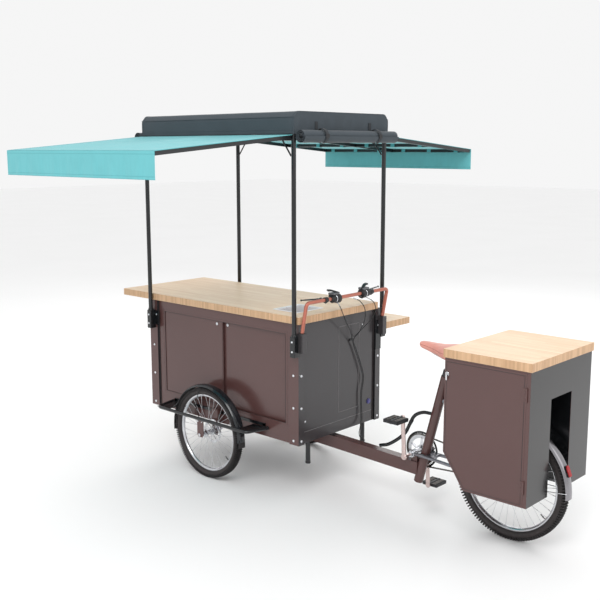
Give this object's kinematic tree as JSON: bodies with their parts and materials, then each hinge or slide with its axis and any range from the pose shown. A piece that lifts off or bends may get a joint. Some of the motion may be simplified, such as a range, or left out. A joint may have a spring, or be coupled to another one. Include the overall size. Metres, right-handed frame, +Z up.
{
  "type": "vending tricycle",
  "caption": "Pedal-driven vending tricycle with a steered counter cabinet, sink, canopy with side awnings, folding shelf and a rear storage box over the driven wheel.",
  "frame": {"origin": "on the ground, under the middle of the object's bounding box", "axes": "+X towards the driven rear wheel, +Y towards the rider's right-hand side as they face the cabinet, +Z up"},
  "size_m": [3.257, 2.88, 2.343],
  "materials": {
    "brown_paint": "semi-gloss brown powder coat",
    "grey_paint": "semi-gloss dark grey powder coat",
    "black_paint": "gloss black powder coat",
    "chain_steel": "oiled roller chain",
    "polished_alloy": "polished",
    "pedal_plastic": "moulded",
    "tyre_rubber": "treaded rubber",
    "red_lens": "ribbed reflector",
    "chrome": "polished",
    "saddle_leather": "matt salmon leather",
    "oak_board": "oiled strip oak",
    "sink_steel": "brushed",
    "copper_paint": "metallic copper paint",
    "cable_cover": "smooth cable housing",
    "awning_tube": "black powder-coated square tube",
    "awning_canvas": "matt woven canvas",
    "roof_cloth": "coated woven cloth"
  },
  "bodies": {
    "rear_frame": {"main_boom": "brown_paint", "seat_tube": "brown_paint", "top_tube": "black_paint", "rear_fork": "grey_paint", "drive_chain": "chain_steel", "rear_mudguard": "black_paint", "tail_reflector": "red_lens", "rear_box_shell": "grey_paint", "rear_box_lid": "oak_board"},
    "seat": {"seat_post": "chrome", "saddle": "saddle_leather"},
    "rear_wheel_set": {"rear_tyre": "tyre_rubber", "rear_wheel": "polished_alloy"},
    "crank": {"crank_set": "polished_alloy"},
    "left_pedal": {"pedal_left": "pedal_plastic"},
    "right_pedal": {"pedal_right": "pedal_plastic"},
    "left_box_door": {"rear_box_door_left": "brown_paint"},
    "right_box_door": {"rear_box_door_right": "brown_paint"},
    "left_latch": {"box_latch_left": "chrome"},
    "right_latch": {"box_latch_right": "chrome"},
    "cabinet": {"box_frame": "black_paint", "left_panel": "brown_paint", "right_panel": "brown_paint", "front_panel": "grey_paint", "rear_panel": "grey_paint", "counter_top": "oak_board", "sink_basin": "sink_steel", "handlebar": "copper_paint", "cable_rear_brake": "cable_cover", "cable_shift": "cable_cover", "cable_front_brake": "cable_cover", "outrigger_left": "black_paint", "outrigger_right": "black_paint", "mudguard_left": "black_paint", "mudguard_right": "black_paint", "canopy_pole_front_left": "black_paint", "canopy_pole_front_right": "black_paint", "canopy_pole_rear_left": "black_paint", "canopy_pole_rear_right": "black_paint", "roof_cover": "roof_cloth", "roof_frame": "black_paint", "curtain_roll_front": "roof_cloth", "curtain_roll_rear": "roof_cloth"},
    "left_front_wheel": {"front_tyre_left": "tyre_rubber", "front_wheel_left": "polished_alloy"},
    "right_front_wheel": {"front_tyre_right": "tyre_rubber", "front_wheel_right": "polished_alloy"},
    "front_door": {"door_front": "brown_paint"},
    "rear_door": {"door_rear": "brown_paint"},
    "shelf": {"folding_shelf": "oak_board"},
    "left_leg": {"support_leg_left": "black_paint"},
    "right_leg": {"support_leg_right": "black_paint"},
    "left_brake_lever": {"brake_lever_left": "black_paint"},
    "right_brake_lever": {"brake_lever_right": "black_paint"},
    "left_awning": {"awning_frame_left": "awning_tube", "awning_cloth_left": "awning_canvas"},
    "right_awning": {"awning_frame_right": "awning_tube", "awning_cloth_right": "awning_canvas"},
    "left_valance": {"valance_left": "awning_canvas"},
    "right_valance": {"valance_right": "awning_canvas"}
  },
  "joints": [
    {"name": "steer", "type": "hinge", "parent": "rear_frame", "child": "cabinet", "pos_m": [-0.3715, 0, 0.345], "axis": [0, 0, 1], "range_deg": [-25, 25]},
    {"name": "seat_height", "type": "slide", "parent": "rear_frame", "child": "seat", "axis": [0.2534, 0, 0.9673], "range_m": [-0.05, 0.1]},
    {"name": "rear_wheel_spin", "type": "hinge", "parent": "rear_frame", "child": "rear_wheel_set", "pos_m": [1.2785, 0, 0.334], "axis": [0, 1, 0], "continuous": true},
    {"name": "crank_spin", "type": "hinge", "parent": "rear_frame", "child": "crank", "pos_m": [0.6405, 0, 0.348], "axis": [0, 1, 0], "continuous": true},
    {"name": "pedal_left_spin", "type": "hinge", "parent": "crank", "child": "left_pedal", "pos_m": [0.6257, -0.184, 0.5835], "axis": [0, 1, 0], "continuous": true},
    {"name": "pedal_right_spin", "type": "hinge", "parent": "crank", "child": "right_pedal", "pos_m": [0.6553, 0.184, 0.1125], "axis": [0, 1, 0], "continuous": true},
    {"name": "box_door_left_swing", "type": "hinge", "parent": "rear_frame", "child": "left_box_door", "pos_m": [1.532, -0.339, 0.69], "axis": [0, 0, 1], "range_deg": [0, 110]},
    {"name": "box_door_right_swing", "type": "hinge", "parent": "rear_frame", "child": "right_box_door", "pos_m": [1.532, 0.339, 0.69], "axis": [0, 0, 1], "range_deg": [-110, 0]},
    {"name": "box_latch_left_turn", "type": "hinge", "parent": "left_box_door", "child": "left_latch", "pos_m": [1.0665, -0.338, 0.962], "axis": [0, 1, 0], "range_deg": [0, 90]},
    {"name": "box_latch_right_turn", "type": "hinge", "parent": "right_box_door", "child": "right_latch", "pos_m": [1.0665, 0.338, 0.962], "axis": [0, 1, 0], "range_deg": [0, 90]},
    {"name": "front_wheel_left_spin", "type": "hinge", "parent": "cabinet", "child": "left_front_wheel", "pos_m": [-0.6715, -0.476, 0.3], "axis": [0, 1, 0], "continuous": true},
    {"name": "front_wheel_right_spin", "type": "hinge", "parent": "cabinet", "child": "right_front_wheel", "pos_m": [-0.6715, 0.476, 0.3], "axis": [0, 1, 0], "continuous": true},
    {"name": "door_front_slide", "type": "slide", "parent": "cabinet", "child": "front_door", "axis": [1, 0, 0], "range_m": [0, 0.56]},
    {"name": "door_rear_slide", "type": "slide", "parent": "cabinet", "child": "rear_door", "axis": [1, 0, 0], "range_m": [-0.56, 0]},
    {"name": "shelf_fold", "type": "hinge", "parent": "cabinet", "child": "shelf", "pos_m": [-0.6515, 0.441, 0.94], "axis": [1, 0, 0], "range_deg": [-90, 0]},
    {"name": "leg_left_drop", "type": "slide", "parent": "cabinet", "child": "left_leg", "axis": [0, 0, -1], "range_m": [0, 0.2]},
    {"name": "leg_right_drop", "type": "slide", "parent": "cabinet", "child": "right_leg", "axis": [0, 0, -1], "range_m": [0, 0.2]},
    {"name": "brake_lever_left_pull", "type": "hinge", "parent": "cabinet", "child": "left_brake_lever", "pos_m": [0.0725, -0.212, 1.234], "axis": [0, 0, 1], "range_deg": [0, 12], "stiffness_Nm_per_rad": 3},
    {"name": "brake_lever_right_pull", "type": "hinge", "parent": "cabinet", "child": "right_brake_lever", "pos_m": [0.0725, 0.212, 1.234], "axis": [0, 0, 1], "range_deg": [-12, 0], "stiffness_Nm_per_rad": 3},
    {"name": "awning_left_fold", "type": "hinge", "parent": "cabinet", "child": "left_awning", "pos_m": [-0.6315, -0.446, 2.183], "axis": [1, 0, 0], "range_deg": [0, 82]},
    {"name": "awning_right_fold", "type": "hinge", "parent": "cabinet", "child": "right_awning", "pos_m": [-0.6315, 0.446, 2.183], "axis": [1, 0, 0], "range_deg": [-82, 0]},
    {"name": "valance_left_hang", "type": "hinge", "parent": "left_awning", "child": "left_valance", "pos_m": [-0.6315, -1.436, 2.12], "axis": [1, 0, 0], "range_deg": [-82, 0]},
    {"name": "valance_right_hang", "type": "hinge", "parent": "right_awning", "child": "right_valance", "pos_m": [-0.6315, 1.436, 2.12], "axis": [1, 0, 0], "range_deg": [0, 82]}
  ],
  "couplings": [
    {"joint": "crank_spin", "follows": "rear_wheel_spin", "ratio": 0.375},
    {"joint": "valance_left_hang", "follows": "awning_left_fold", "ratio": -1},
    {"joint": "valance_right_hang", "follows": "awning_right_fold", "ratio": -1}
  ]
}
